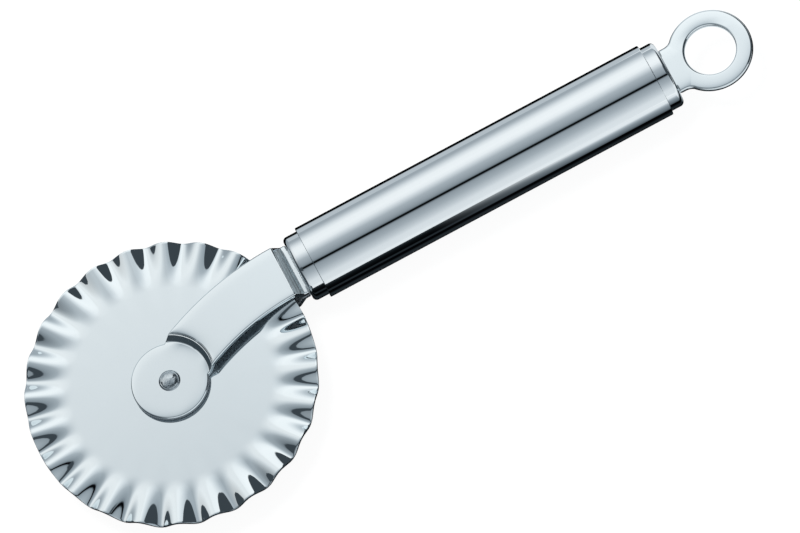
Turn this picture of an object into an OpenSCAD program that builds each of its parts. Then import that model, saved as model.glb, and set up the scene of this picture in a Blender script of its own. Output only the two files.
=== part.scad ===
// Fluted pastry wheel. A sheet wheel with a fluted rim turns on a riveted fork,
// on a tube handle that ends in a flat hanging loop. Sizes are in millimetres.
// The handle lies along X with the loop at +X, and the wheel's axle is along Z.
// The tool lies flat on z = 0, and the origin is under the middle of the whole tool.

/* [Wheel] */
// Diameter over the fluted rim
wheel_d = 69; // [62:0.5:78]
// Thickness of the wheel's sheet
wheel_t = 0.8; // [0.6:0.1:1.2]
// Number of flutes round the rim
flutes = 24; // [18:1:30]
// Height of a flute's crest over the wheel's middle plane
flute_h = 1.07; // [0.6:0.01:1.5]
// Width of the fluted band, from the rim inwards
flute_band = 11.2; // [8:0.2:14]
// Width of the soft knee where the flutes rise out of the flat middle
flute_knee = 3.6; // [2:0.2:6]
// Turn of the first crest from the handle's direction
flute_turn = 6.9; // [0:0.1:15]

/* [Axle] */
// Diameter of the sleeve that the wheel turns on
bush_d = 6; // [5:0.25:8]
// Diameter of the rivet's shank
rivet_d = 3.5; // [2.5:0.25:4]
// Diameter of the rivet's two heads
rivet_head_d = 5.1; // [4.6:0.1:7]
// Height of the rivet's domed heads
rivet_head_h = 0.9; // [0.6:0.1:1.5]
// Diameter of the thrust washers
washer_d = 14; // [10:0.5:16]
// Thickness of the thrust washers
washer_t = 0.25; // [0.2:0.05:0.5]
// Gap between the wheel and each washer
wheel_play = 0.05; // [0.03:0.01:0.1]
// Gap round the sleeve in the wheel's bore
bore_fit = 0.05; // [0.02:0.01:0.1]

/* [Fork] */
// Thickness of the fork's two plates and of the hanging loop
plate_t = 1.5; // [1.2:0.1:2]
// Width of the fork's neck and blade
blade_w = 13.3; // [11:0.1:14]
// Distance of the axle below the handle's axis
axle_drop = 10; // [6:0.5:14]
// Gap between the flutes' crests and the fork's blades
crest_gap = 1.3; // [0.6:0.1:2.5]
// Length of the neck between the cap and the joggle
neck_flat = 1.6; // [1.2:0.1:4]
// Length of the joggle's slope along the handle
joggle_run = 2; // [1.6:0.1:4]
// Straight length between the neck's end and the blade's curve
blade_lead = 0.6; // [0.2:0.1:4]
// Distance by which the blade's centre line passes below the axle
blade_low = 0.4; // [0:0.1:1]
// Distance from the joggle to the wheel's rim
rim_lead = 0.1; // [0.1:0.1:4]
// Diameter of the round boss at the axle
boss_d = 18.4; // [17:0.1:24]
// Distance from the boss's edge to the foot of the step
step_lead = 0.3; // [0.3:0.1:1.5]
// Radial run of the step's wall
step_run = 1.3; // [0.6:0.1:2]
// Radius of the plate's inner bends
bend_in_r = 0.4; // [0.2:0.1:0.6]
// Radius of the plate's outer bends
bend_out_r = 0.8; // [0.4:0.1:1.2]

/* [Handle] */
// Outer diameter of the tube
tube_d = 18; // [16.5:0.5:22]
// Wall of the tube
tube_t = 0.8; // [0.6:0.1:1.2]
// Length of the tube
tube_len = 90; // [70:1:120]
// Width of the small bevel on the tube's ends
tube_bevel = 0.2; // [0.1:0.05:0.4]
// Wall of the end caps
cap_t = 1; // [0.8:0.1:1.4]
// Length of the front cap outside the tube
front_cap_out = 3.8; // [2.5:0.1:6]
// Length of the rear cap outside the tube
rear_cap_out = 3.5; // [2.5:0.1:6]
// Length of each cap inside the tube
cap_in = 12; // [10:0.5:20]
// Radius of the caps' outer corners
cap_corner = 1.1; // [0.6:0.1:1.3]
// Gap round the caps in the tube
cap_fit = 0.02; // [0.01:0.01:0.05]

/* [Tangs] */
// Width of the fork's tang inside the front cap
tang_w = 10.5; // [8:0.5:10.5]
// Length of the tangs behind the caps' faces
tang_len = 11; // [8:0.5:14]
// Diameter of the cross pins behind the caps' faces
pin_d = 3; // [2:0.25:4]
// Gap round the tangs and pins
slot_fit = 0.05; // [0.02:0.01:0.1]

/* [Hanging loop] */
// Outer diameter of the loop's ring
loop_d = 20; // [18:0.5:26]
// Diameter of the eye
eye_d = 12; // [9:0.5:13]
// Distance from the rear cap's face to the eye's centre
loop_reach = 11; // [11:0.5:16]
// Width of the loop's neck at the rear cap
loop_neck_w = 11.8; // [10:0.1:13]
// Width of the loop's tang inside the rear cap
loop_tang_w = 9; // [7:0.5:9.5]
// Radius of the fillets between the neck and the ring
loop_fillet = 3; // [2:0.5:3.5]

/* [Hidden] */
$fn = 96;

// Margin by which cuts pass through what they cut
over = 1;
// Straight pieces of each flute
flute_steps = 12;
// Straight pieces of each small bend
bend_steps = 5;
// Depth to which the fillets of the loop's neck run into the ring
loop_blend = 0.05;

// Wheel and axle stack, from the wheel's middle plane outwards
wheel_r = wheel_d / 2;
flat_r = wheel_r - flute_band;
ring_r = [flat_r, flat_r + flute_knee / 2, flat_r + flute_knee, wheel_r];
band_rings = len(ring_r) - 1;
crest_z = flute_h + wheel_t / 2;
boss_in_z = wheel_t / 2 + wheel_play + washer_t;
boss_out_z = boss_in_z + plate_t;
blade_in_z = crest_z + crest_gap;
blade_out_z = blade_in_z + plate_t;
bush_bore_d = rivet_d + 2 * slot_fit;

// Stations along the handle, from the tube's front end
front_face_x = -front_cap_out;
joggle_x = front_face_x - neck_flat;
blade_x = joggle_x - blade_lead;
axle_x = joggle_x - joggle_run - rim_lead - wheel_r;
rear_face_x = tube_len + rear_cap_out;
eye_x = rear_face_x + loop_reach;
middle_x = (axle_x - wheel_r + eye_x + loop_d / 2) / 2;

// The blade's centre line is one arc, from the handle's axis to just below the axle
blade_dx = blade_x - axle_x;
blade_drop = axle_drop + blade_low;
blade_r = (pow(blade_dx, 2) + pow(blade_drop, 2)) / (2 * blade_drop);
blade_sweep = asin(blade_dx / blade_r);

// The step's wall keeps the plate's thickness, a little thinned by the drawing
wall_draw = 0.8;
step_rise = blade_in_z - boss_in_z;
step_slant = norm([step_run, step_rise]);
step_r = boss_d / 2 + step_lead;
step_shift = plate_t * (wall_draw * step_slant - step_run) / step_rise;
step_top_r = step_r + step_run;
flange_r = step_top_r + step_shift + bend_out_r + over;

// Caps and pins
cap_d = tube_d - 2 * tube_t - 2 * cap_fit;
cap_bore_r = cap_d / 2 - cap_t;
pin_half = sqrt(pow(cap_bore_r, 2) - pow(pin_d / 2, 2)) - slot_fit;
front_pin_x = front_face_x + cap_t + pin_d / 2 + slot_fit;
rear_pin_x = rear_face_x - cap_t - pin_d / 2 - slot_fit;

// Puts a piece from the handle's frame into the tool's own frame
module place() {
    translate([-middle_x, axle_drop, tube_d / 2]) children();
}

module at_axle() {
    translate([axle_x, -axle_drop, 0]) children();
}

// Turns a piece from the Z axis onto the handle's axis
module along_x(x) {
    translate([x, 0, 0]) rotate([0, 90, 0]) children();
}

function unit(v) = v / norm(v);

// Arc of radius r that rounds the corner at p between the points a and b
function corner(a, p, b, r) =
    let (
        u = unit(a - p),
        v = unit(b - p),
        half = acos(u * v) / 2,
        centre = p + unit(u + v) * r / sin(half),
        first = p + u * r / tan(half) - centre,
        last = p + v * r / tan(half) - centre,
        start = atan2(first.y, first.x),
        turn = atan2(cross(first, last), first * last)
    )
    [
        for (i = [0:bend_steps])
            let (angle = start + turn * i / bend_steps)
            centre + r * [cos(angle), sin(angle)]
    ];

// Share of the flutes' height at the distance t outwards from the flat middle: it grows
// slowly through the knee, then evenly to the rim
function flute_share(t) = (t < flute_knee ? pow(t, 2) / flute_knee : 2 * t - flute_knee)
    / (2 * flute_band - flute_knee);
function flute_height(r) = flute_h * flute_share(r - flat_r);

// Heights of the sheet's middle and of its half thickness, which follows the slope
function wave(r, angle) = flute_height(r) * cos(flutes * (angle - flute_turn));
function wave_slope(r, angle) = flute_height(r) * flutes / r * sin(flutes * (angle - flute_turn));
function half_sheet(r, angle) = wheel_t / 2 * sqrt(1 + pow(wave_slope(r, angle), 2));

// Point of the wheel's upper (side = 1) or lower (side = -1) face
function sheet_point(r, angle, side) =
    [r * cos(angle), r * sin(angle), wave(r, angle) + side * half_sheet(r, angle)];

// The fluted sheet is one closed mesh: flat middle faces, wavy bands and the rim
module fluted_sheet() {
    n = flutes * flute_steps;
    face = n * (band_rings + 1);
    points = [
        for (side = [1, -1])
            for (ring = [0:band_rings])
                for (j = [0:n - 1])
                    sheet_point(ring_r[ring], 360 * j / n, side)
    ];
    function spot(side, ring, j) = side * face + ring * n + (j % n);
    middles = [
        [for (j = [n - 1:-1:0]) spot(0, 0, j)],
        [for (j = [0:n - 1]) spot(1, 0, j)]
    ];
    bands = [
        for (ring = [0:band_rings - 1])
            for (j = [0:n - 1])
                each [
                    [spot(0, ring, j), spot(0, ring, j + 1), spot(0, ring + 1, j + 1)],
                    [spot(0, ring, j), spot(0, ring + 1, j + 1), spot(0, ring + 1, j)],
                    [spot(1, ring, j), spot(1, ring + 1, j + 1), spot(1, ring, j + 1)],
                    [spot(1, ring, j), spot(1, ring + 1, j), spot(1, ring + 1, j + 1)]
                ]
    ];
    rim = [
        for (j = [0:n - 1])
            each [
                [spot(0, band_rings, j), spot(0, band_rings, j + 1), spot(1, band_rings, j + 1)],
                [spot(0, band_rings, j), spot(1, band_rings, j + 1), spot(1, band_rings, j)]
            ]
    ];
    polyhedron(points, concat(middles, bands, rim));
}

module fluted_wheel() {
    color("lightsteelblue") place() at_axle() difference() {
        fluted_sheet();
        cylinder(d = bush_d + 2 * bore_fit, h = wheel_t + 2 * over, center = true);
    }
}

module spacer_bush() {
    color("goldenrod") place() at_axle() difference() {
        cylinder(d = bush_d, h = 2 * boss_in_z, center = true);
        cylinder(d = bush_bore_d, h = 2 * boss_in_z + 2 * over, center = true);
    }
}

// Thrust washer against the front (side = 1) or rear (side = -1) boss
module washer(side) {
    place() at_axle() translate([0, 0, side * (boss_in_z - washer_t / 2)]) difference() {
        cylinder(d = washer_d, h = washer_t, center = true);
        cylinder(d = bush_d + 2 * bore_fit, h = washer_t + 2 * over, center = true);
    }
}

module front_washer() {
    color("whitesmoke") washer(1);
}

module rear_washer() {
    color("whitesmoke") washer(-1);
}

// Domed rivet head that stands on the plane z = 0
module rivet_head() {
    dome_r = (pow(rivet_head_d / 2, 2) + pow(rivet_head_h, 2)) / (2 * rivet_head_h);
    intersection() {
        translate([0, 0, rivet_head_h - dome_r]) sphere(r = dome_r);
        cylinder(d = rivet_head_d + over, h = rivet_head_h);
    }
}

module axle_rivet() {
    color("slategray") place() at_axle() {
        cylinder(d = rivet_d, h = 2 * boss_out_z, center = true);
        translate([0, 0, boss_out_z]) rivet_head();
        mirror([0, 0, 1]) translate([0, 0, boss_out_z]) rivet_head();
    }
}

// Outline of the fork's arm in plan: tang, neck, curved blade and round boss
module arm_outline() {
    translate([front_face_x - over, -tang_w / 2]) square([tang_len + over, tang_w]);
    translate([blade_x, -blade_w / 2]) square([front_face_x - blade_x, blade_w]);
    translate([blade_x, -blade_r]) intersection() {
        difference() {
            circle(r = blade_r + blade_w / 2);
            circle(r = blade_r - blade_w / 2);
        }
        polygon([
            [0, 0],
            [0, 2 * blade_r],
            [-2 * blade_r * sin(blade_sweep), 2 * blade_r * cos(blade_sweep)]
        ]);
    }
    translate([axle_x, -axle_drop]) circle(d = boss_d);
}

// Side profile of the sheet through the joggle, in X and Z
module joggle_profile() {
    half_turn = atan(blade_in_z / joggle_run) / 2;
    mitre = [plate_t / 2 * tan(half_turn), plate_t / 2];
    first = [joggle_x, plate_t / 2];
    second = [joggle_x - joggle_run, blade_in_z + plate_t / 2];
    inner_end = [front_face_x + tang_len + over, plate_t / 2];
    outer_end = [axle_x - wheel_r, blade_in_z + plate_t / 2];
    up = [0, plate_t / 2];
    polygon(concat(
        [inner_end + up],
        corner(inner_end + up, first + mitre, second + mitre, bend_in_r),
        corner(first + mitre, second + mitre, outer_end + up, bend_out_r),
        [outer_end + up, outer_end - up],
        corner(outer_end - up, second - mitre, first - mitre, bend_in_r),
        corner(second - mitre, first - mitre, inner_end - up, bend_out_r),
        [inner_end - up]
    ));
}

// Half section of the sheet round the axle: the boss, the step's wall and the blade
module boss_profile() {
    foot = [step_r, boss_out_z];
    top = [step_top_r, blade_out_z];
    under_foot = [step_r + step_shift, boss_in_z];
    under_top = [step_top_r + step_shift, blade_in_z];
    polygon(concat(
        [[0, boss_in_z]],
        corner([0, boss_in_z], under_foot, under_top, bend_out_r),
        corner(under_foot, under_top, [flange_r, blade_in_z], bend_in_r),
        [[flange_r, blade_in_z], [flange_r, blade_out_z]],
        corner([flange_r, blade_out_z], top, foot, bend_out_r),
        corner(top, foot, [0, boss_out_z], bend_in_r),
        [[0, boss_out_z]]
    ));
}

module fork_arm() {
    difference() {
        intersection() {
            translate([0, 0, -over]) linear_extrude(blade_out_z + 2 * over) arm_outline();
            union() {
                difference() {
                    rotate([90, 0, 0]) linear_extrude(2 * wheel_d, center = true)
                        joggle_profile();
                    at_axle() cylinder(r = flange_r - over / 2, h = 2 * blade_out_z + over);
                }
                at_axle() rotate_extrude() boss_profile();
            }
        }
        at_axle() cylinder(d = bush_bore_d, h = blade_out_z + over);
        translate([front_pin_x, 0, -over])
            cylinder(d = pin_d + 2 * slot_fit, h = plate_t + 2 * over);
    }
}

module front_fork_arm() {
    color("silver") place() fork_arm();
}

module rear_fork_arm() {
    color("silver") place() mirror([0, 0, 1]) fork_arm();
}

// End cap with its face on z = 0, and a slot for a tang of the given section
module end_cap(out, slot_w, slot_t) {
    depth = out + cap_in;
    outer = cap_d / 2;
    difference() {
        rotate_extrude() polygon(concat(
            [[0, 0]],
            corner([0, 0], [outer, 0], [outer, depth], cap_corner),
            [
                [outer, depth],
                [cap_bore_r, depth]
            ],
            corner([cap_bore_r, depth], [cap_bore_r, cap_t], [0, cap_t], bend_in_r),
            [[0, cap_t]]
        ));
        translate([0, 0, cap_t / 2])
            cube([slot_t + 2 * slot_fit, slot_w + 2 * slot_fit, cap_t + 2 * over], center = true);
    }
}

module front_cap() {
    color("silver") place() along_x(front_face_x)
        end_cap(front_cap_out, tang_w, 2 * plate_t);
}

module rear_cap() {
    color("silver") place() along_x(rear_face_x) mirror([0, 0, 1])
        end_cap(rear_cap_out, loop_tang_w, plate_t);
}

// Pin across a cap, which the tangs hang on
module cross_pin(x) {
    place() translate([x, 0, 0]) cylinder(d = pin_d, h = 2 * pin_half, center = true);
}

module front_cross_pin() {
    color("dimgray") cross_pin(front_pin_x);
}

module rear_cross_pin() {
    color("dimgray") cross_pin(rear_pin_x);
}

module handle_tube() {
    outer = tube_d / 2;
    inner = outer - tube_t;
    color("lightgray") place() along_x(0) rotate_extrude() polygon([
        [inner, 0],
        [outer - tube_bevel, 0],
        [outer, tube_bevel],
        [outer, tube_len - tube_bevel],
        [outer - tube_bevel, tube_len],
        [inner, tube_len]
    ]);
}

// The loop's neck, which widens into the ring in two fillets
module loop_neck() {
    half_w = loop_neck_w / 2;
    reach = loop_d / 2 + loop_fillet - loop_blend;
    lift = half_w + loop_fillet;
    centre = [-sqrt(pow(reach, 2) - pow(lift, 2)), lift];
    sweep = acos(lift / reach);
    edge = concat(
        [[-loop_reach, half_w]],
        [
            for (i = [0:bend_steps])
                let (angle = sweep * i / bend_steps - 90)
                centre + loop_fillet * [cos(angle), sin(angle)]
        ]
    );
    far_edge = [for (i = [len(edge) - 1:-1:0]) [edge[i].x, -edge[i].y]];
    polygon(concat(edge, [[0, 0]], far_edge));
}

// Sheet of the loop's thickness with the outline of its child
module loop_sheet() {
    linear_extrude(plate_t, center = true) children();
}

module hanging_loop() {
    color("silver") place() difference() {
        translate([eye_x, 0, 0]) {
            loop_sheet() circle(d = loop_d);
            loop_sheet() loop_neck();
            loop_sheet() translate([-loop_reach - tang_len, -loop_tang_w / 2])
                square([tang_len + over, loop_tang_w]);
        }
        translate([eye_x, 0, 0]) cylinder(d = eye_d, h = plate_t + 2 * over, center = true);
        translate([rear_pin_x, 0, 0])
            cylinder(d = pin_d + 2 * slot_fit, h = plate_t + 2 * over, center = true);
    }
}

fluted_wheel();
spacer_bush();
front_washer();
rear_washer();
axle_rivet();
front_fork_arm();
rear_fork_arm();
front_cap();
front_cross_pin();
handle_tube();
rear_cap();
rear_cross_pin();
hanging_loop();
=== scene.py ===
"""Fluted pastry wheel: the pieces that show, their finishes, and a small studio."""
import math

import bpy
from mathutils import Matrix, Vector


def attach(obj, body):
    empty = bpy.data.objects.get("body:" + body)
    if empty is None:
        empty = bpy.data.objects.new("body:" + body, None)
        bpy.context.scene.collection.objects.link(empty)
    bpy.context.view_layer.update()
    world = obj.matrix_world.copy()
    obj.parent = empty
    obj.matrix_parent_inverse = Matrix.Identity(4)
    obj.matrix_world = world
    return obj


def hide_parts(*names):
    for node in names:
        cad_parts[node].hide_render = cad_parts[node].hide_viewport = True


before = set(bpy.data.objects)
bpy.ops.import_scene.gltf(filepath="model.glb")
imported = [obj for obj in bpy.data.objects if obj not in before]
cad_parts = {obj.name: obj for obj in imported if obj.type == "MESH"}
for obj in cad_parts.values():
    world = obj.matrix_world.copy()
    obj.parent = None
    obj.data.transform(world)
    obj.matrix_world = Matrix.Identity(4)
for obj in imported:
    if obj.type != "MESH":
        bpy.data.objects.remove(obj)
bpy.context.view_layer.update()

MM = 0.001
AXLE = Vector((-61, 0, 9)) * MM
HANDLE_Y = 10 * MM
HANDLE_Z = 9 * MM
ALONG_X = (0, math.pi / 2, 0)
EYE = Vector((85.5, 10, 9)) * MM

# Sizes that a piece and its finish share
TUBE_LEN = 90 * MM
TUBE_MIDDLE_X = 26 * MM
FRONT_FACE_X = -22.8 * MM
REAR_FACE_X = 74.5 * MM
RIVET_HEAD_R = 2.55 * MM

# Outlines of the pressed plates, for the distance to their edges
BOSS_R = 9.2 * MM
BLADE_HALF = 6.65 * MM
RING_R = 10 * MM
EYE_R = 6 * MM
LOOP_NECK_HALF = 5.9 * MM

# The blade's centre line is one arc from the neck's end to just below the axle
BLADE_DX = 36 * MM
BLADE_DROP = 10.4 * MM
BLADE_R = (BLADE_DX ** 2 + BLADE_DROP ** 2) / (2 * BLADE_DROP)
BLADE_CENTRE = Vector((-25 * MM, HANDLE_Y - BLADE_R, HANDLE_Z))


# Work at the bench

def take(piece):
    """Selects this piece alone."""
    bpy.ops.object.select_all(action="DESELECT")
    piece.select_set(True)
    bpy.context.view_layer.objects.active = piece


def fresh(name):
    """Names the primitive that was just added and puts its place in its mesh."""
    piece = bpy.context.object
    piece.name = name
    piece.data.name = name
    bpy.ops.object.transform_apply(location=True, rotation=True, scale=True)
    return piece


def pick(piece, kind, test):
    """Enters edit mode with the vertices, edges or faces that pass the test selected."""
    take(piece)
    mesh = piece.data
    for parts in (mesh.vertices, mesh.edges, mesh.polygons):
        parts.foreach_set("select", [False] * len(parts))
    parts = {"VERT": mesh.vertices, "EDGE": mesh.edges, "FACE": mesh.polygons}[kind]
    for part in parts:
        part.select = bool(test(part))
    bpy.context.tool_settings.mesh_select_mode = tuple(kind == k for k in ("VERT", "EDGE", "FACE"))
    bpy.ops.object.mode_set(mode="EDIT")


def done():
    bpy.ops.object.mode_set(mode="OBJECT")


def middle(piece, edge):
    """Middle of an edge."""
    a, b = (piece.data.vertices[i].co for i in edge.vertices)
    return (a + b) / 2


def apply_modifier(piece, kind, **settings):
    take(piece)
    modifier = piece.modifiers.new(kind.title(), kind)
    for key, value in settings.items():
        setattr(modifier, key, value)
    bpy.ops.object.modifier_apply(modifier=modifier.name)


def cut_away(piece, tool):
    """Cuts the tool's shape out of the piece and throws the tool away."""
    apply_modifier(piece, "BOOLEAN", operation="DIFFERENCE", solver="EXACT", object=tool)
    bpy.data.objects.remove(tool, do_unlink=True)


def smooth(piece, degrees):
    take(piece)
    bpy.ops.object.shade_smooth_by_angle(angle=math.radians(degrees))


def finish_edges(piece, width, segments, degrees=50):
    """Breaks the sharp edges with a small round and keeps the flats flat."""
    apply_modifier(
        piece, "BEVEL", width=width, segments=segments, limit_method="ANGLE",
        angle_limit=math.radians(degrees), harden_normals=False, use_clamp_overlap=False,
    )
    smooth(piece, 32)
    apply_modifier(piece, "WEIGHTED_NORMAL", weight=80, keep_sharp=True, mode="FACE_AREA")


def stand_in(piece, node, body):
    """The piece shows in the node's place and moves with its body."""
    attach(piece, body)
    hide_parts(node)


def pressed_copy(node, name, round_width, round_segments):
    """A pressed plate, from its node's merged surface with its edges broken."""
    piece = bpy.data.objects.new(name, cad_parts[node].data.copy())
    piece.data.name = name
    bpy.context.scene.collection.objects.link(piece)
    pick(piece, "FACE", lambda face: True)
    bpy.ops.mesh.remove_doubles(threshold=0.002 * MM)
    bpy.ops.mesh.select_all(action="SELECT")
    bpy.ops.mesh.dissolve_limited(angle_limit=math.radians(0.5))
    done()
    finish_edges(piece, round_width, round_segments)
    return piece


# The wheel: a disc of rings, waved at the rim, then given its thickness

WHEEL_R = 34.5 * MM
WHEEL_T = 0.8 * MM
BORE_R = 3.05 * MM
FLAT_R = 23.3 * MM
KNEE = 3.6 * MM
FLUTES = 24
FLUTE_H = 1.07 * MM
FLUTE_TURN = math.radians(6.9)
CREST_SOFT = 0.05
FLUTE_LEAN = 0.03
POINTS_PER_FLUTE = 20
RIM_RINGS = 24


def flute_lift(radius, angle):
    """Height of the waved sheet: a soft knee off the flat, then even growth to the rim."""
    along = radius - FLAT_R
    if along <= 0:
        return 0
    grown = along ** 2 / KNEE if along < KNEE else 2 * along - KNEE
    share = grown / (2 * (WHEEL_R - FLAT_R) - KNEE)
    turn = FLUTES * (angle - FLUTE_TURN)
    crest = math.cos(turn) - CREST_SOFT * math.cos(2 * turn) - FLUTE_LEAN * math.sin(2 * turn)
    return FLUTE_H * share * crest


def make_wheel():
    bpy.ops.mesh.primitive_circle_add(
        vertices=FLUTES * POINTS_PER_FLUTE, radius=BORE_R, fill_type="NOTHING", location=AXLE
    )
    wheel = fresh("waved_wheel")
    rings = [8 * MM, 16 * MM, FLAT_R]
    rings += [FLAT_R + (WHEEL_R - FLAT_R) * (i + 1) / RIM_RINGS for i in range(RIM_RINGS)]
    pick(wheel, "EDGE", lambda edge: True)
    last = BORE_R
    for ring in rings:
        grow = ring / last
        bpy.ops.mesh.extrude_edges_move()
        bpy.ops.transform.resize(value=(grow, grow, 1), center_override=AXLE)
        last = ring
    done()
    for vertex in wheel.data.vertices:
        arm = vertex.co - AXLE
        vertex.co.z += flute_lift(arm.xy.length, math.atan2(arm.y, arm.x))
    apply_modifier(wheel, "SOLIDIFY", thickness=WHEEL_T, offset=0, use_quality_normals=True)
    pick(wheel, "FACE", lambda face: True)
    bpy.ops.mesh.normals_make_consistent(inside=False)
    done()
    apply_modifier(
        wheel, "BEVEL", width=0.12 * MM, segments=2, limit_method="ANGLE",
        angle_limit=math.radians(60),
    )
    smooth(wheel, 40)
    return wheel


# Turned pieces on the handle's axis, and the rivet

def make_tube():
    bpy.ops.mesh.primitive_cylinder_add(
        vertices=192, radius=9 * MM, depth=TUBE_LEN, end_fill_type="NGON",
        location=(TUBE_MIDDLE_X, HANDLE_Y, HANDLE_Z), rotation=ALONG_X,
    )
    tube = fresh("grip_tube")
    pick(tube, "FACE", lambda face: abs(face.normal.x) > 0.9)
    bpy.ops.mesh.inset(thickness=0.8 * MM, use_individual=True)
    bpy.ops.mesh.bridge_edge_loops()
    done()
    finish_edges(tube, 0.2 * MM, 3)
    return tube


def make_cap(name, face_x, end_x, slot_width, slot_height):
    """A deep cap with a round corner, hollow behind, and a slot in its face."""
    inward = 1 if end_x > face_x else -1
    depth = abs(end_x - face_x)
    wall = 1 * MM
    bpy.ops.mesh.primitive_cylinder_add(
        vertices=192, radius=8.18 * MM, depth=depth, end_fill_type="NGON",
        location=((face_x + end_x) / 2, HANDLE_Y, HANDLE_Z), rotation=ALONG_X,
    )
    cap = fresh(name)
    pick(cap, "FACE", lambda face: face.normal.x * inward > 0.9)
    bpy.ops.mesh.inset(thickness=wall)
    hollow = (depth - wall) * -inward
    bpy.ops.mesh.extrude_region_move(TRANSFORM_OT_translate={"value": (hollow, 0, 0)})
    done()

    def outer_rim(edge):
        spot = middle(cap, edge)
        return abs(spot.x - face_x) < 0.01 * MM
    pick(cap, "EDGE", outer_rim)
    bpy.ops.mesh.bevel(offset=1.1 * MM, segments=10)
    done()
    bpy.ops.mesh.primitive_cube_add(
        size=1, location=(face_x, HANDLE_Y, HANDLE_Z), scale=(4 * MM, slot_width, slot_height)
    )
    cut_away(cap, fresh("slot_tool"))
    smooth(cap, 40)
    apply_modifier(cap, "WEIGHTED_NORMAL", weight=80, keep_sharp=True, mode="FACE_AREA")
    return cap


def make_rivet():
    """A shank with two domed heads, dented a little by the hammer."""
    shank_r, head_h, head_z = 1.75 * MM, 0.9 * MM, 2.2 * MM
    dome_r = (RIVET_HEAD_R ** 2 + head_h ** 2) / (2 * head_h)
    seat = AXLE + Vector((0, 0, head_z))
    bpy.ops.mesh.primitive_uv_sphere_add(
        segments=64, ring_count=64, radius=dome_r, location=seat + Vector((0, 0, head_h - dome_r))
    )
    rivet = fresh("hammered_rivet")
    pick(rivet, "FACE", lambda face: True)
    bpy.ops.mesh.bisect(plane_co=seat, plane_no=(0, 0, 1), use_fill=True, clear_inner=True)
    bpy.ops.mesh.inset(thickness=RIVET_HEAD_R - shank_r)
    bpy.ops.mesh.extrude_region_move(TRANSFORM_OT_translate={"value": (0, 0, -head_z)})
    bpy.ops.mesh.delete(type="FACE")
    done()
    # The shank ends on the middle plane, so that its mirrored half joins on
    pick(rivet, "VERT", lambda vertex: vertex.co.z < AXLE.z + 0.5 * MM)
    bpy.ops.transform.resize(value=(1, 1, 0), center_override=AXLE)
    done()
    crown = seat.z + 0.15 * MM
    pick(rivet, "VERT", lambda vertex: vertex.co.z > crown)
    bpy.ops.transform.vertex_random(offset=0.05 * MM, uniform=0.2, normal=1, seed=4)
    bpy.ops.mesh.vertices_smooth(factor=0.6, repeat=4)
    done()
    apply_modifier(rivet, "MIRROR", use_axis=(False, False, True), use_mirror_merge=True,
                   merge_threshold=0.001 * MM, mirror_object=level_mark())
    remove_mark()
    smooth(rivet, 40)
    return rivet


def level_mark():
    """An empty on the wheel's middle plane, for mirroring."""
    mark = bpy.data.objects.new("level_mark", None)
    mark.location = AXLE
    bpy.context.scene.collection.objects.link(mark)
    bpy.context.view_layer.update()
    return mark


def remove_mark():
    bpy.data.objects.remove(bpy.data.objects["level_mark"], do_unlink=True)


wheel = make_wheel()
tube = make_tube()
front_cap = make_cap("neck_cap", FRONT_FACE_X, -7 * MM, 10.6 * MM, 3.1 * MM)
rear_cap = make_cap("loop_cap", REAR_FACE_X, 59 * MM, 9.1 * MM, 1.6 * MM)
rivet = make_rivet()
front_arm = pressed_copy("front_fork_arm", "near_arm", 0.4 * MM, 5)
rear_arm = pressed_copy("rear_fork_arm", "far_arm", 0.4 * MM, 5)
loop = pressed_copy("hanging_loop", "loop_plate", 0.6 * MM, 6)

stand_in(wheel, "fluted_wheel", "wheel")
stand_in(tube, "handle_tube", "handle")
stand_in(front_cap, "front_cap", "handle")
stand_in(rear_cap, "rear_cap", "handle")
stand_in(rivet, "axle_rivet", "handle")
stand_in(front_arm, "front_fork_arm", "handle")
stand_in(rear_arm, "rear_fork_arm", "handle")
stand_in(loop, "hanging_loop", "handle")


# Finishes

def nodes_of(material):
    """An empty node tree, as a way to add nodes and a way to link them."""
    material.use_nodes = True
    tree = material.node_tree
    tree.nodes.clear()

    def add(kind, **settings):
        node = tree.nodes.new(kind)
        for key, value in settings.items():
            setattr(node, key, value)
        return node
    return add, tree.links.new


def ramp(node, stops):
    """Colours of a ramp: a list of (position, grey) or (position, (r, g, b))."""
    elements = node.color_ramp.elements
    while len(elements) > 1:
        elements.remove(elements[-1])
    for i, (position, tone) in enumerate(stops):
        stop = elements[0] if i == 0 else elements.new(position)
        stop.position = position
        rgb = (tone, tone, tone) if isinstance(tone, (int, float)) else tone
        stop.color = (*rgb, 1)


def dress(piece, material):
    piece.data.materials.clear()
    piece.data.materials.append(material)


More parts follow.
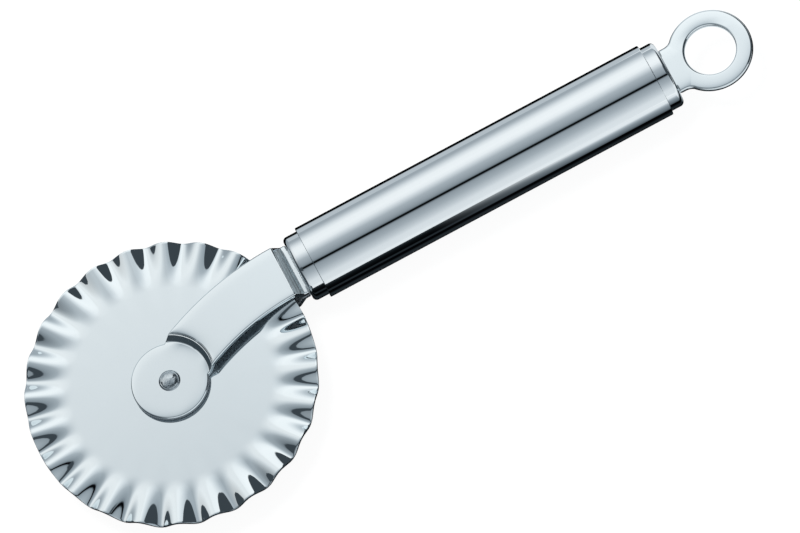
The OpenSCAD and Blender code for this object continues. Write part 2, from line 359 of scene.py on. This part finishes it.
class Finish:
    """A metal or plastic finish, built up from the piece's own coordinates."""

    def __init__(self, name, tint, metallic=1):
        self.material = bpy.data.materials.new(name)
        self.add, self.link = nodes_of(self.material)
        self.tint = tint
        self.shader = self.add("ShaderNodeBsdfPrincipled")
        self.shader.inputs["Metallic"].default_value = metallic
        out = self.add("ShaderNodeOutputMaterial")
        self.link(self.shader.outputs[0], out.inputs["Surface"])
        self.place = self.add("ShaderNodeTexCoord").outputs["Object"]
        self.normal = None

    def number(self, operation, *values):
        """One sum on numbers or on other nodes' outputs."""
        node = self.add("ShaderNodeMath", operation=operation)
        for socket, value in zip(node.inputs, values):
            if isinstance(value, (int, float)):
                socket.default_value = value
            else:
                self.link(value, socket)
        return node.outputs[0]

    def between(self, value, low, high, to_low, to_high, kind="LINEAR"):
        node = self.add("ShaderNodeMapRange", interpolation_type=kind)
        for name, level in (("From Min", low), ("From Max", high),
                            ("To Min", to_low), ("To Max", to_high)):
            node.inputs[name].default_value = level
        self.link(value, node.inputs["Value"])
        return node.outputs[0]

    def stretched(self, scale, turn=(0, 0, 0)):
        """The piece's coordinates, stretched for grain or scratches."""
        node = self.add("ShaderNodeMapping")
        node.inputs["Scale"].default_value = scale
        node.inputs["Rotation"].default_value = turn
        self.link(self.place, node.inputs["Vector"])
        return node.outputs[0]

    def noise(self, place, scale, detail=3, roughness=0.5):
        node = self.add("ShaderNodeTexNoise")
        node.inputs["Scale"].default_value = scale
        node.inputs["Detail"].default_value = detail
        node.inputs["Roughness"].default_value = roughness
        self.link(place, node.inputs["Vector"])
        return node.outputs["Fac"]

    def offset(self, centre):
        """The three coordinates, measured from a centre."""
        node = self.add("ShaderNodeVectorMath", operation="SUBTRACT")
        node.inputs[1].default_value = centre
        self.link(self.place, node.inputs[0])
        parts = self.add("ShaderNodeSeparateXYZ")
        self.link(node.outputs[0], parts.inputs[0])
        return parts.outputs

    def flat_reach(self, centre):
        """Distance from a centre in plan."""
        parts = self.offset(centre)
        square = self.number("ADD", self.number("MULTIPLY", parts[0], parts[0]),
                             self.number("MULTIPLY", parts[1], parts[1]))
        return self.number("SQRT", square)

    def bump(self, height, distance=1.0):
        """Height in metres, or a share of the distance, added to the bumps before it."""
        node = self.add("ShaderNodeBump")
        node.inputs["Strength"].default_value = 1
        node.inputs["Distance"].default_value = distance
        self.link(height, node.inputs["Height"])
        if self.normal is not None:
            self.link(self.normal, node.inputs["Normal"])
        self.normal = node.outputs[0]
        self.link(self.normal, self.shader.inputs["Normal"])

    def worn(self, inside, width):
        """1 at the edge of a shape and nothing further inside it, broken up like real wear; it
        marks worn edges, and on the rivet a rim painted darker as shade.
        """
        patchy = self.number("MULTIPLY", self.noise(self.place, 700, 3), 2 * width)
        return self.between(self.number("ADD", inside, patchy), width * 0.6, width * 1.8, 1, 0)

    def inside_circle(self, centre, radius):
        return self.number("SUBTRACT", radius, self.flat_reach(centre))

    def colour(self, share, dark, worn=None, edge_band_tint=None):
        """Tint that varies a little with a share from 0 to 1, and changes on an edge band: worn
        edges, and on the rivet a rim painted darker as shade.
        """
        mix = self.add("ShaderNodeMix", data_type="RGBA")
        mix.inputs["A"].default_value = (*(c * dark for c in self.tint), 1)
        mix.inputs["B"].default_value = (*self.tint, 1)
        self.link(share, mix.inputs["Factor"])
        result = mix.outputs["Result"]
        if worn is not None:
            edge = self.add("ShaderNodeMix", data_type="RGBA")
            edge.inputs["B"].default_value = (*edge_band_tint, 1)
            self.link(result, edge.inputs["A"])
            self.link(worn, edge.inputs["Factor"])
            result = edge.outputs["Result"]
        self.link(result, self.shader.inputs["Base Color"])

    def roughness(self, share, low, high, worn=None, worn_extra=0.0):
        value = self.between(share, 0.3, 0.7, low, high)
        if worn is not None:
            value = self.number("ADD", value, self.number("MULTIPLY", worn, worn_extra))
        self.link(value, self.shader.inputs["Roughness"])


def fine_scratches(finish, depth):
    """Polishing scratches in three directions, too fine to see singly."""
    heights = None
    for turn in (0.3, 1.4, 2.5):
        place = finish.stretched((9000, 260, 900), (0, 0, turn))
        one = finish.noise(place, 1.0, 2)
        heights = one if heights is None else finish.number("ADD", heights, one)
    finish.bump(heights, depth)


def sheet_polish(finish, inside):
    """Mirror polish with a faint haze, worn a little duller along its edges."""
    haze = finish.noise(finish.place, 140, 4, 0.6)
    worn = finish.worn(inside, 0.12 * MM)
    fine_scratches(finish, 0.00000012)
    finish.colour(haze, 0.975, worn, tuple(c * 1.04 for c in finish.tint))
    finish.roughness(haze, 0.03, 0.05, worn, 0.05)


def roll(finish, inside, width, slope):
    """Height that fades in from an edge: it falls (slope below 0) or rises towards the edge."""
    inside = finish.number("MAXIMUM", inside, 0)
    fade = finish.number("EXPONENT", finish.number("DIVIDE", inside, -width))
    return finish.number("MULTIPLY", fade, width * slope)


MIRROR = (0.815, 0.885, 0.915)


def make_arm_polish():
    """Polish of the fork's arms, rolled off at the blade's edges, the boss and the step."""
    finish = Finish("polished fork sheet", MIRROR)
    from_axle = finish.flat_reach(AXLE)
    from_curve = finish.flat_reach(BLADE_CENTRE)
    off_curve = finish.number("SUBTRACT", from_curve, BLADE_R)
    from_back = finish.number("SUBTRACT", BLADE_HALF, off_curve)
    from_belly = finish.number("ADD", BLADE_HALF, off_curve)
    in_blade = finish.number("MINIMUM", from_back, from_belly)
    in_boss = finish.number("SUBTRACT", BOSS_R, from_axle)
    sheet_polish(finish, finish.number("MAXIMUM", in_blade, in_boss))
    on_blade = finish.between(from_axle, 10.55 * MM, 10.65 * MM, 0, 1)
    # On the blade both its edges and the step's top fall away
    height = finish.number("ADD", roll(finish, from_back, 0.6 * MM, -0.3),
                           roll(finish, from_belly, 0.4 * MM, -0.22))
    height = finish.number("ADD", height, roll(
        finish, finish.number("SUBTRACT", from_axle, 11.0 * MM), 0.7 * MM, -0.36))
    height = finish.number("MULTIPLY", height, on_blade)
    # The boss falls away at its free rim, and rises to the step's foot
    at_foot = finish.number(
        "MULTIPLY",
        finish.between(in_blade, -1 * MM, 3.5 * MM, 0, 1, "SMOOTHSTEP"),
        finish.between(finish.offset(AXLE)[0], -4 * MM, 4 * MM, 0, 1, "SMOOTHSTEP"),
    )
    rise = finish.number("MULTIPLY", at_foot, roll(finish, in_boss, 0.9 * MM, 0.27))
    fall = finish.number("MULTIPLY", finish.number("SUBTRACT", 1, at_foot),
                         roll(finish, in_boss, 0.75 * MM, -0.19))
    on_boss = finish.number("SUBTRACT", 1, on_blade)
    height = finish.number("ADD", height,
                           finish.number("MULTIPLY", on_boss, finish.number("ADD", rise, fall)))
    # The press left fine lines across the joggle and the neck
    past = finish.offset(AXLE)[0]
    at_bend = finish.number("MULTIPLY", finish.between(past, 34.4 * MM, 34.6 * MM, 0, 1),
                            finish.between(past, 36.5 * MM, 36.7 * MM, 1, 0.5))
    lines = finish.noise(finish.stretched((2400, 20, 20)), 1.0, 1)
    height = finish.number("ADD", height, finish.number(
        "MULTIPLY", at_bend, finish.number("MULTIPLY", lines, 0.1 * MM)))
    finish.bump(height)
    return finish.material


def make_loop_polish():
    """Polish of the loop, rolled off at its rim and at the far side of its eye."""
    finish = Finish("polished loop sheet", MIRROR)
    from_eye = finish.flat_reach(EYE)
    off_middle = finish.number("ABSOLUTE", finish.offset(EYE)[1])
    in_neck = finish.number("SUBTRACT", LOOP_NECK_HALF, off_middle)
    before_eye = finish.number("LESS_THAN", finish.offset(EYE)[0], 0)
    in_neck = finish.number("MULTIPLY", in_neck, before_eye)
    in_ring = finish.number("SUBTRACT", RING_R, from_eye)
    from_rim = finish.number("MAXIMUM", in_ring, in_neck)
    from_hole = finish.number("SUBTRACT", from_eye, EYE_R)
    sheet_polish(finish, finish.number("MINIMUM", from_hole, from_rim))
    far_side = finish.between(finish.offset(EYE)[1], 3 * MM, 6.5 * MM, 0.15, 1, "SMOOTHSTEP")
    at_hole = finish.number("MULTIPLY", far_side, roll(finish, from_hole, 0.9 * MM, -0.27))
    finish.bump(finish.number("ADD", at_hole, roll(finish, from_rim, 0.9 * MM, -0.27)))
    return finish.material


def make_wheel_polish():
    """Mirror polish with faint rings, as the sheet was buffed while it turned."""
    finish = Finish("mirror polished wheel", MIRROR)
    sheet_polish(finish, finish.inside_circle(AXLE, WHEEL_R))
    reach = finish.flat_reach(AXLE)
    rings = finish.add("ShaderNodeTexNoise", noise_dimensions="1D")
    rings.inputs["Scale"].default_value = 2600
    finish.link(reach, rings.inputs["W"])
    finish.bump(rings.outputs["Fac"], 0.0000001)
    return finish.material


def make_satin():
    """Fine grain round the tube and caps, duller on the worn rims."""
    finish = Finish("satin steel", (0.83, 0.885, 0.915))
    grain = finish.noise(finish.stretched((14000, 90, 90)), 1.0, 3)
    haze = finish.noise(finish.place, 90, 4)
    middle_out = finish.number("ABSOLUTE", finish.offset((TUBE_MIDDLE_X, 0, 0))[0])
    from_end = finish.number("ABSOLUTE", finish.number("SUBTRACT", middle_out, TUBE_LEN / 2))
    worn = finish.worn(from_end, 0.1 * MM)
    finish.bump(grain, 0.0000002)
    cloud = finish.number("ADD", finish.number("MULTIPLY", grain, 0.5),
                          finish.number("MULTIPLY", haze, 0.5))
    finish.colour(cloud, 0.94, worn, (0.86, 0.91, 0.94))
    finish.roughness(haze, 0.03, 0.045, worn, 0.06)
    return finish.material


def make_rolled_sheet_and_boss_edge_shade():
    """Unpolished inner faces of the fork, dull from the rolling mill, and painted shade on the
    boss's cut edge.
    """
    finish = Finish("dull rolled sheet and painted boss edge shade", (0.30, 0.345, 0.385), metallic=0.3)
    grain = finish.noise(finish.stretched((400, 7000, 400)), 1.0, 3)
    haze = finish.noise(finish.place, 300, 4)
    finish.bump(grain, 0.0000004)
    worn = finish.worn(finish.inside_circle(AXLE, BOSS_R), 0.2 * MM)
    finish.colour(haze, 0.88, worn, (0.3, 0.34, 0.37))
    finish.roughness(haze, 0.45, 0.6)
    return finish.material


def make_hammered():
    """Grey rivet steel with hammer marks, a ring that the closing tool left, and painted shade
    darkening the head's rim.
    """
    finish = Finish("hammered rivet steel", (0.63, 0.70, 0.74))
    marks = finish.noise(finish.place, 620, 2, 0.5)
    spots = finish.noise(finish.place, 1400, 3)
    reach = finish.flat_reach(AXLE)
    ring = finish.number("ABSOLUTE", finish.number("SUBTRACT", reach, 2.05 * MM))
    groove = finish.between(ring, 0, 0.14 * MM, -1, 0, "SMOOTHSTEP")
    finish.bump(marks, 0.00025)
    finish.bump(groove, 0.00004)
    # The head's rim is painted darker than the dome, as painted shade along its steep edge.
    rim = finish.worn(finish.inside_circle(AXLE, RIVET_HEAD_R), 0.1 * MM)
    finish.colour(finish.between(spots, 0.35, 0.65, 0, 1), 0.75, rim, (0.4, 0.43, 0.46))
    finish.roughness(spots, 0.12, 0.24)
    return finish.material


def make_bright_pin():
    """Turned steel of the sleeve and the cross pins, with fine lathe rings."""
    finish = Finish("turned pin steel", (0.60, 0.63, 0.66))
    rings = finish.noise(finish.stretched((300, 300, 9000)), 1.0, 2)
    haze = finish.noise(finish.place, 500, 3)
    finish.bump(rings, 0.0000008)
    finish.colour(rings, 0.85)
    finish.roughness(haze, 0.18, 0.3)
    return finish.material


def make_washer_plastic():
    """Slippery white plastic, rubbed a little by the wheel."""
    finish = Finish("washer plastic", (0.88, 0.88, 0.85), metallic=0)
    cloud = finish.noise(finish.place, 400, 4)
    rub = finish.noise(finish.place, 6000, 2)
    finish.bump(rub, 0.000004)
    worn = finish.worn(finish.inside_circle(AXLE, 7 * MM), 0.3 * MM)
    finish.colour(cloud, 0.9, worn, (0.78, 0.78, 0.76))
    finish.roughness(cloud, 0.42, 0.6)
    return finish.material


def dull_inside_and_shade_boss_edge(arm, side, material):
    """Gives the faces that look at the wheel their own dull finish, and gives the boss's cut edge
    the same dark material as painted shade.
    """
    arm.data.materials.append(material)
    for face in arm.data.polygons:
        inner = face.normal.z * side < -0.35 and abs(face.center.z - AXLE.z) < 3.2 * MM
        reach = (face.center - AXLE).xy.length
        # The boss's cut edge takes the dark dull material as painted shade: a dark crescent in the
        # gap beside the wheel.
        cut = abs(face.normal.z) < 0.2 and 9 * MM < reach < 9.3 * MM
        if inner or cut:
            face.material_index = 1


def make_faced():
    """Cap faces, ground flat, with straight grinding marks."""
    finish = Finish("ground cap end", (0.93, 0.97, 0.99), metallic=0.1)
    marks = finish.noise(finish.stretched((60, 25, 1500)), 1.0, 3)
    finish.bump(marks, 0.000004)
    finish.colour(finish.between(marks, 0.38, 0.56, 0, 1), 0.3)
    finish.roughness(finish.noise(finish.place, 300, 3), 0.3, 0.45)
    return finish.material


def dull_face(cap, face_x, material):
    """Gives the cap's flat face its own finish."""
    cap.data.materials.append(material)
    for face in cap.data.polygons:
        if abs(face.center.x - face_x) < 0.02 * MM:
            face.material_index = 1


satin = make_satin()
faced = make_faced()
arm_polish = make_arm_polish()
# Dull sheet for the inner faces; the boss's cut edge also takes it as painted shade.
rolled = make_rolled_sheet_and_boss_edge_shade()
pin_steel = make_bright_pin()
washer_plastic = make_washer_plastic()
dress(wheel, make_wheel_polish())
dress(loop, make_loop_polish())
dress(rivet, make_hammered())
for piece in (tube, front_cap, rear_cap):
    dress(piece, satin)
dull_face(front_cap, FRONT_FACE_X, faced)
dull_face(rear_cap, REAR_FACE_X, faced)
for piece, side in ((front_arm, 1), (rear_arm, -1)):
    dress(piece, arm_polish)
    dull_inside_and_shade_boss_edge(piece, side, rolled)
for node in ("spacer_bush", "front_cross_pin", "rear_cross_pin"):
    dress(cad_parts[node], pin_steel)
for node in ("front_washer", "rear_washer"):
    dress(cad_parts[node], washer_plastic)


# Studio

def aim_camera():
    """Long lens at the photo's angle: right, up and backward directions of the view."""
    camera = bpy.data.objects.new("camera", bpy.data.cameras.new("camera"))
    bpy.context.scene.collection.objects.link(camera)
    camera.data.sensor_width = 36
    camera.data.lens = 405
    camera.data.clip_start = 0.1
    camera.data.clip_end = 20
    right = Vector((0.88224285, -0.44133737, -0.16391729))
    up = Vector((0.47067812, 0.81909273, 0.32794695))
    back = Vector((-0.01047178, -0.36648113, 0.93036655))
    turn = Matrix((right, up, back)).transposed().to_4x4()
    camera.matrix_world = Matrix.Translation((-0.02340566, -0.76385808, 1.9454557)) @ turn
    bpy.context.scene.camera = camera


def studio_tone(level):
    """Linear light for a photo tone from 0 to 255, bluer as it gets darker."""
    grey = (level / 255) ** 2.2
    red = 0.715 + 0.255 * grey ** 0.5
    blue = 1.26 - 0.24 * grey ** 0.5
    return (grey * red * 1.25, grey * 1.20, grey * blue * 1.16)


def only_in_reflections(piece):
    piece.visible_camera = False
    piece.visible_diffuse = False
    piece.visible_shadow = False
    piece.visible_transmission = False
    piece.visible_volume_scatter = False


ARCH_R = 0.6
ARCH_LEFT = -1.35
ARCH_RIGHT = 1.0
DARK_CARD = 66
LIT_EDGE = 0.006

# Tones of the arch by its turn about X, in degrees from overhead towards the camera
ARCH_TONES = [
    (-90, 161), (-80, 164), (-70, 192), (-60, 221), (-50, 238), (-35, 241), (-25, 234),
    (-15, 207), (-5, 173), (5, 158), (12, 146), (17, 128), (19.5, 40), (20.5, 14), (23.5, 14),
    (24.5, 40), (27, 132), (30, 149), (45, 169), (60, 196), (72, 218), (90, 223),
]
# Share of that light along the arch, from its left end to its right end
ARCH_ALONG = [
    (-1.35, 0.50), (-0.9, 0.63), (-0.6, 0.75), (-0.3, 0.91), (-0.1, 0.895), (-0.06, 0.905),
    (-0.02, 0.975), (0.1, 1.0), (1.0, 1.05),
]
TOP_SHARE = 1.05
# Where the lit part ends at the left and at the right, by the same turn
LIT_FROM = [
    (-90, -0.54), (-75, -0.56), (-60, -0.60), (-50, -0.70), (-40, -0.83), (-30, -0.92),
    (-5, -1.10), (35, -1.05), (50, -0.78), (65, -0.60), (90, -0.50),
]
LIT_TO = [
    (-90, 0.41), (-15, 0.41), (-8, 0.29), (15, 0.27), (22, 0.48), (30, 0.65), (90, 0.98),
]


def make_arch():
    """Half a tunnel of soft light over the tool, dark at both ends, with a camera slot."""
    bpy.ops.mesh.primitive_cylinder_add(
        vertices=256, radius=ARCH_R, depth=ARCH_RIGHT - ARCH_LEFT, end_fill_type="NOTHING",
        location=((ARCH_LEFT + ARCH_RIGHT) / 2, 0, 0), rotation=ALONG_X,
    )
    arch = fresh("light_arch")
    pick(arch, "FACE", lambda face: face.center.z < 0)
    bpy.ops.mesh.delete(type="FACE")
    done()
    only_in_reflections(arch)
    material = bpy.data.materials.new("light arch")
    add, link = nodes_of(material)

    def ranged(source, low, high):
        node = add("ShaderNodeMapRange")
        node.inputs["From Min"].default_value = low
        node.inputs["From Max"].default_value = high
        link(source, node.inputs["Value"])
        return node.outputs[0]

    def by_turn(stops):
        node = add("ShaderNodeValToRGB")
        ramp(node, [((turn + 90) / 180, value) for turn, value in stops])
        link(share, node.inputs[0])
        return node.outputs["Color"]

    def run(x):
        return (x - ARCH_LEFT) / (ARCH_RIGHT - ARCH_LEFT)

    place = add("ShaderNodeTexCoord")
    parts = add("ShaderNodeSeparateXYZ")
    back = add("ShaderNodeMath", operation="MULTIPLY")
    back.inputs[1].default_value = -1
    turn = add("ShaderNodeMath", operation="ARCTAN2")
    link(place.outputs["Object"], parts.inputs[0])
    link(parts.outputs["Y"], back.inputs[0])
    link(back.outputs[0], turn.inputs[0])
    link(parts.outputs["Z"], turn.inputs[1])
    share = ranged(turn.outputs[0], -math.pi / 2, math.pi / 2)
    along = ranged(parts.outputs["X"], ARCH_LEFT, ARCH_RIGHT)
    shares = add("ShaderNodeValToRGB")
    # A ramp holds shares up to 1, so the tones take the rest
    ramp(shares, [(run(x), v / TOP_SHARE) for x, v in ARCH_ALONG])
    link(along, shares.inputs[0])
    both = add("ShaderNodeMix", data_type="RGBA", blend_type="MULTIPLY")
    both.inputs["Factor"].default_value = 1
    tones = [(t, tuple(c * TOP_SHARE for c in studio_tone(v))) for t, v in ARCH_TONES]
    link(by_turn(tones), both.inputs["A"])
    link(shares.outputs["Color"], both.inputs["B"])
    past_left = add("ShaderNodeMath", operation="SUBTRACT")
    link(along, past_left.inputs[0])
    link(by_turn([(t, run(x)) for t, x in LIT_FROM]), past_left.inputs[1])
    before_right = add("ShaderNodeMath", operation="SUBTRACT")
    link(by_turn([(t, run(x)) for t, x in LIT_TO]), before_right.inputs[0])
    link(along, before_right.inputs[1])
    lit = add("ShaderNodeMath", operation="MULTIPLY")
    link(ranged(past_left.outputs[0], -LIT_EDGE, LIT_EDGE), lit.inputs[0])
    link(ranged(before_right.outputs[0], -LIT_EDGE, LIT_EDGE), lit.inputs[1])
    # Over the wheel the slot is wider
    wide = by_turn([(-90, 1), (15, 1), (17.5, 0), (29, 0), (31, 1), (90, 1)])
    over_wheel = ranged(parts.outputs["X"], -0.035, -0.025)
    open_slot = add("ShaderNodeMath", operation="MAXIMUM")
    link(wide, open_slot.inputs[0])
    link(over_wheel, open_slot.inputs[1])
    shown = add("ShaderNodeMath", operation="MULTIPLY")
    link(lit.outputs[0], shown.inputs[0])
    link(open_slot.outputs[0], shown.inputs[1])
    seen = add("ShaderNodeMix", data_type="RGBA")
    seen.inputs["A"].default_value = (*studio_tone(DARK_CARD), 1)
    link(shown.outputs[0], seen.inputs["Factor"])
    link(both.outputs["Result"], seen.inputs["B"])
    light = add("ShaderNodeEmission")
    out = add("ShaderNodeOutputMaterial")
    link(seen.outputs["Result"], light.inputs["Color"])
    link(light.outputs[0], out.inputs["Surface"])
    dress(arch, material)


def plain_glow(name, tone):
    material = bpy.data.materials.new(name)
    add, link = nodes_of(material)
    light = add("ShaderNodeEmission")
    light.inputs["Color"].default_value = (*studio_tone(tone), 1)
    out = add("ShaderNodeOutputMaterial")
    link(light.outputs[0], out.inputs["Surface"])
    return material


def make_end_cards():
    """Dark cards that close both ends of the arch."""
    dark = plain_glow("dark card", DARK_CARD)
    for name, x in (("left_card", ARCH_LEFT), ("right_card", ARCH_RIGHT)):
        bpy.ops.mesh.primitive_circle_add(
            vertices=64, radius=ARCH_R * 1.02, fill_type="NGON",
            location=(x, 0, 0), rotation=ALONG_X,
        )
        card = fresh(name)
        only_in_reflections(card)
        dress(card, dark)


def make_floor():
    """White floor: it glows for the camera, and its matt part keeps the soft shadow."""
    bpy.ops.mesh.primitive_plane_add(size=8, location=(0, 0, 0))
    floor = fresh("floor")
    material = bpy.data.materials.new("white floor")
    add, link = nodes_of(material)
    rays = add("ShaderNodeLightPath")
    place = add("ShaderNodeTexCoord")
    parts = add("ShaderNodeSeparateXYZ")
    across = add("ShaderNodeMapRange")
    across.inputs["From Min"].default_value = -0.5
    across.inputs["From Max"].default_value = 0.5
    tones = add("ShaderNodeValToRGB")
    ramp(tones, [(0, studio_tone(223)), (0.44, studio_tone(226)), (0.54, studio_tone(214)),
                 (0.62, studio_tone(190)), (1, studio_tone(165))])
    matt = add("ShaderNodeBsdfDiffuse")
    matt.inputs["Color"].default_value = (0.12, 0.12, 0.12, 1)
    glow = add("ShaderNodeEmission")
    glow.inputs["Color"].default_value = (1, 1, 1, 1)
    glow.inputs["Strength"].default_value = 0.93
    seen = add("ShaderNodeAddShader")
    mirrored = add("ShaderNodeEmission")
    bounce = add("ShaderNodeBsdfDiffuse")
    bounce.inputs["Color"].default_value = (0.8, 0.8, 0.8, 1)
    first = add("ShaderNodeMixShader")
    second = add("ShaderNodeMixShader")
    out = add("ShaderNodeOutputMaterial")
    beside = add("ShaderNodeMapRange")
    beside.inputs["From Min"].default_value = -0.13
    beside.inputs["From Max"].default_value = -0.10
    lit = add("ShaderNodeMix", data_type="RGBA")
    lit.inputs["A"].default_value = (*studio_tone(62), 1)
    link(place.outputs["Object"], parts.inputs[0])
    link(parts.outputs["Y"], across.inputs["Value"])
    link(parts.outputs["X"], beside.inputs["Value"])
    link(across.outputs[0], tones.inputs[0])
    link(beside.outputs[0], lit.inputs["Factor"])
    link(tones.outputs["Color"], lit.inputs["B"])
    link(lit.outputs["Result"], mirrored.inputs["Color"])
    link(matt.outputs[0], seen.inputs[0])
    link(glow.outputs[0], seen.inputs[1])
    link(rays.outputs["Is Glossy Ray"], first.inputs["Fac"])
    link(bounce.outputs[0], first.inputs[1])
    link(mirrored.outputs[0], first.inputs[2])
    link(rays.outputs["Is Camera Ray"], second.inputs["Fac"])
    link(first.outputs[0], second.inputs[1])
    link(seen.outputs[0], second.inputs[2])
    link(second.outputs[0], out.inputs["Surface"])
    dress(floor, material)


# Tones of the floor under the tool, by Y in mm: under the wheel, then along the handle
# from the neck to the far cap, then under the loop and past its end
FLOOR_FROM_Y, FLOOR_TO_Y = -64, 48
FLOOR_WHEEL = [(-50, 66), (-47, 61), (-33, 24), (-25, 19), (-19, 16), (-15, 12), (-12, 30),
               (-11, 50), (-10, 26), (-8.5, 9), (-5, 10), (-3, 36), (-1, 40), (2, 24), (6, 12),
               (40, 12), (43, 40), (48, 150)]
FLOOR_NECK = [(-64, 228), (-61, 228), (-59, 50), (-46, 45), (-33, 26), (-25, 20), (-17, 12),
              (-14, 14), (-12.8, 44), (-9.8, 44), (-9, 12), (-5, 11), (-3, 40), (-1, 46),
              (2, 24), (6, 12), (40, 14), (43, 40), (48, 184)]
FLOOR_CAP = [(-64, 228), (-61, 226), (-46, 219), (-33, 178), (-25, 153), (-19, 132), (-15, 122),
             (-12, 106), (-10, 94), (-8.6, 10), (-5, 8), (-3, 28), (-1, 44), (2, 24), (6, 12),
             (40, 14), (43, 40), (48, 184)]
FLOOR_LOOP = [(-64, 236), (-30, 225), (-20, 200), (-13, 120), (-9, 20), (-5, 9), (-3, 28),
              (0, 60), (3, 170), (8, 205), (48, 220)]
FLOOR_PAST = [(-64, 236), (-30, 225), (-20, 160), (-12, 20), (20, 14), (28, 150), (48, 220)]


def make_floor_card():
    """Floor as the metal sees it: dark under the tool, paler under the loop and past its end."""
    bpy.ops.mesh.primitive_plane_add(size=1, location=(0.125, 0, 0.02 * MM))
    card = fresh("floor_card")
    only_in_reflections(card)
    material = bpy.data.materials.new("floor card")
    add, link = nodes_of(material)
    place = add("ShaderNodeTexCoord")
    parts = add("ShaderNodeSeparateXYZ")
    link(place.outputs["Object"], parts.inputs[0])

    def share(axis, low, high, kind="LINEAR"):
        node = add("ShaderNodeMapRange", interpolation_type=kind)
        node.inputs["From Min"].default_value = low * MM
        node.inputs["From Max"].default_value = high * MM
        link(parts.outputs[axis], node.inputs["Value"])
        return node.outputs[0]

    def strip(tones):
        node = add("ShaderNodeValToRGB")
        span = FLOOR_TO_Y - FLOOR_FROM_Y
        ramp(node, [((y - FLOOR_FROM_Y) / span, studio_tone(v)) for y, v in tones])
        link(across, node.inputs[0])
        return node.outputs["Color"]

    across = share("Y", FLOOR_FROM_Y, FLOOR_TO_Y)
    shown = strip(FLOOR_WHEEL)
    # Each strip takes over from the one before it between these two places, by X in mm
    for tones, start, end, kind in (
        (FLOOR_NECK, -27, -25, "LINEAR"),
        (FLOOR_CAP, 8, 56, "SMOOTHSTEP"),
        (FLOOR_LOOP, 77, 79, "LINEAR"),
        (FLOOR_PAST, 95.5, 97.5, "LINEAR"),
    ):
        mix = add("ShaderNodeMix", data_type="RGBA")
        link(share("X", start, end, kind), mix.inputs["Factor"])
        link(shown, mix.inputs["A"])
        link(strip(tones), mix.inputs["B"])
        shown = mix.outputs["Result"]
    light = add("ShaderNodeEmission")
    out = add("ShaderNodeOutputMaterial")
    link(shown, light.inputs["Color"])
    link(light.outputs[0], out.inputs["Surface"])
    dress(card, material)


def light_room():
    """White room for the camera and the metal, softer for matt surfaces, and one soft lamp."""
    world = bpy.data.worlds.new("studio")
    bpy.context.scene.world = world
    add, link = nodes_of(world)
    rays = add("ShaderNodeLightPath")
    seen = add("ShaderNodeMath", operation="MAXIMUM")
    shown = add("ShaderNodeMath", operation="MAXIMUM")
    white = add("ShaderNodeBackground")
    white.inputs["Color"].default_value = (1, 1, 1, 1)
    soft = add("ShaderNodeBackground")
    soft.inputs["Color"].default_value = (0.55, 0.57, 0.59, 1)
    mix = add("ShaderNodeMixShader")
    out = add("ShaderNodeOutputWorld")
    link(rays.outputs["Is Camera Ray"], seen.inputs[0])
    link(rays.outputs["Is Glossy Ray"], seen.inputs[1])
    link(seen.outputs[0], shown.inputs[0])
    link(rays.outputs["Is Transmission Ray"], shown.inputs[1])
    link(shown.outputs[0], mix.inputs["Fac"])
    link(soft.outputs[0], mix.inputs[1])
    link(white.outputs[0], mix.inputs[2])
    link(mix.outputs[0], out.inputs["Surface"])
    lamp = bpy.data.objects.new("soft_lamp", bpy.data.lights.new("soft_lamp", "AREA"))
    bpy.context.scene.collection.objects.link(lamp)
    lamp.data.shape = "DISK"
    lamp.data.size = 0.5
    lamp.data.energy = 6
    lamp.location = (-0.15, 0.35, 0.9)
    lamp.rotation_euler = (lamp.location * -1).to_track_quat("-Z", "Y").to_euler()
    lamp.visible_glossy = False


aim_camera()
make_arch()
make_end_cards()
make_floor()
make_floor_card()
light_room()
bpy.context.scene.view_settings.view_transform = "Standard"
